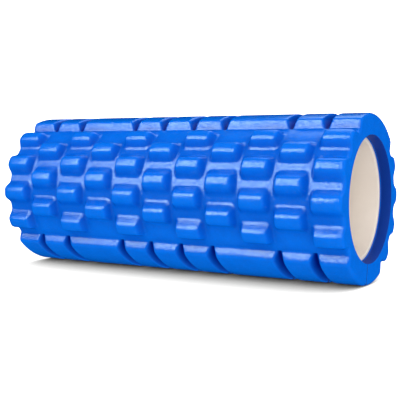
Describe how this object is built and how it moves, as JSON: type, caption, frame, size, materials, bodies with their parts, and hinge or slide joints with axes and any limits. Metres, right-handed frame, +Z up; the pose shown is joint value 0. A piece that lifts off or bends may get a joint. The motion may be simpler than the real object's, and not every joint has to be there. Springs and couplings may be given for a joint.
{
  "type": "foam roller",
  "caption": "Hollow massage roller: a rigid tube inside a thick foam sleeve moulded with staggered nubs and bands of long flat blocks.",
  "frame": {"origin": "middle of the underside, on the surface that the roller lies on, under the middle of its axis", "axes": "+X along the roller's axis, +Z up, -Y towards the nub zone at the front"},
  "size_m": [0.33, 0.14, 0.138],
  "materials": {
    "foam": "satin",
    "tube_plastic": "satin",
    "adhesive": "satin"
  },
  "bodies": {
    "root": {"core_tube": "tube_plastic", "core_adhesive": "adhesive", "foam_sleeve": "foam", "seam_adhesive": "adhesive"}
  },
  "joints": []
}
